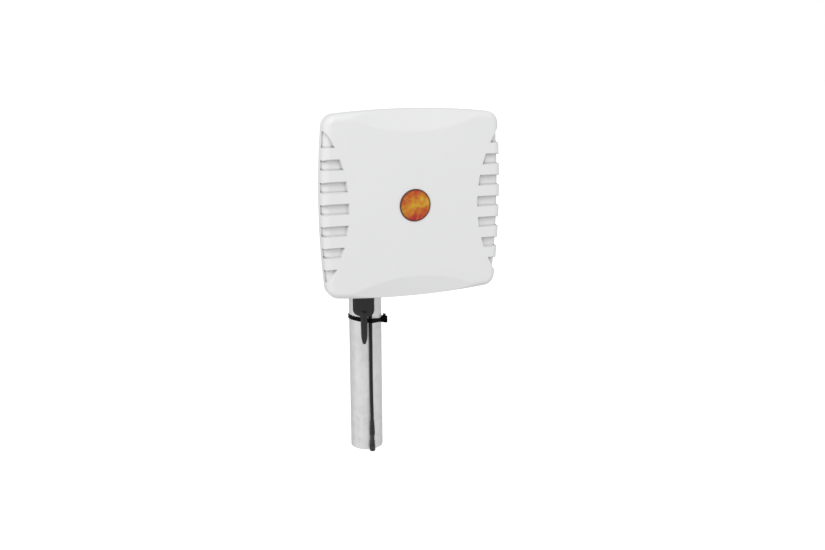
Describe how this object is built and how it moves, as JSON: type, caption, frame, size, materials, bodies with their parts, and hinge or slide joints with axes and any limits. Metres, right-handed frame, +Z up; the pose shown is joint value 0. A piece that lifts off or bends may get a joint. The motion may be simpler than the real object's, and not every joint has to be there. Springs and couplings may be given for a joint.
{
  "type": "panel antenna on pipe mast",
  "caption": "Square ribbed flat-panel antenna on a short round pipe mast, with a pan and tilt clamp bracket and a coaxial lead down the mast.",
  "frame": {"origin": "centre of the lower end of the mast tube", "axes": "+Z up along the mast, -Y the way the panel faces at rest, +X to the panel's right as seen from in front"},
  "size_m": [0.25, 0.1761, 0.516],
  "materials": {
    "radome_white": "satin",
    "badge_orange": "gloss",
    "rear_white": "satin",
    "gasket_rubber": "matte",
    "stainless": "satin",
    "aluminium_sheet": "satin",
    "circuit_board": "satin",
    "copper_plate": "satin",
    "nylon_natural": "satin",
    "gland_plastic": "satin",
    "bracket_black": "matte",
    "mast_galvanised": "satin",
    "guide_nylon": "satin",
    "tie_black": "satin",
    "cable_jacket": "satin",
    "plug_black": "satin",
    "contact_gold": "gloss"
  },
  "bodies": {
    "root": {"mast_tube": "mast_galvanised", "mast_cap": "guide_nylon", "clamp_arm": "bracket_black", "clamp_jaw": "bracket_black", "clamp_bolts": "stainless", "clamp_nuts": "stainless", "clamp_washers": "stainless", "pan_bolt": "stainless", "pan_nut": "stainless", "pan_washers": "stainless", "pan_discs": "nylon_natural", "cable_guide": "guide_nylon", "cable_ties": "tie_black", "coil_ties": "tie_black", "cable_loop_pan": "cable_jacket", "cable_coil": "cable_jacket", "feeder_cable": "cable_jacket", "plug_boot": "guide_nylon", "plug_body": "plug_black", "plug_pin": "contact_gold"},
    "swivel": {"swivel": "bracket_black"},
    "panel": {"front_cover": "radome_white", "badge": "badge_orange", "cover_gasket": "gasket_rubber", "rear_cover": "rear_white", "cover_screws": "stainless", "reflector_plate": "aluminium_sheet", "board_spacers": "nylon_natural", "feed_board": "circuit_board", "patch_spacers": "nylon_natural", "radiating_patches": "copper_plate", "reflector_screws": "stainless", "inner_lead": "cable_jacket", "gland_body": "gland_plastic", "gland_seal": "gasket_rubber", "gland_nut": "gland_plastic", "vent_plug": "gland_plastic", "tilt_bracket": "bracket_black", "bracket_screws": "stainless", "tilt_bolt": "stainless", "tilt_nut": "stainless", "tilt_washers": "stainless", "tilt_discs": "nylon_natural", "cable_loop_tilt": "cable_jacket"},
    "coupling_nut": {"plug_nut": "plug_black"}
  },
  "joints": [
    {"name": "pan", "type": "hinge", "parent": "root", "child": "swivel", "pos_m": [0.031, -0.046, 0.391], "axis": [0, 0, 1], "range_deg": [-11, 79], "deforming": ["cable_loop_pan"]},
    {"name": "tilt", "type": "hinge", "parent": "swivel", "child": "panel", "pos_m": [0.031, -0.072, 0.391], "axis": [1, 0, 0], "range_deg": [-20, 20], "deforming": ["cable_loop_tilt"]},
    {"name": "coupling_nut_turn", "type": "hinge", "parent": "root", "child": "coupling_nut", "pos_m": [0, -0.0292, 0.005], "axis": [0, 0, 1], "continuous": true}
  ]
}
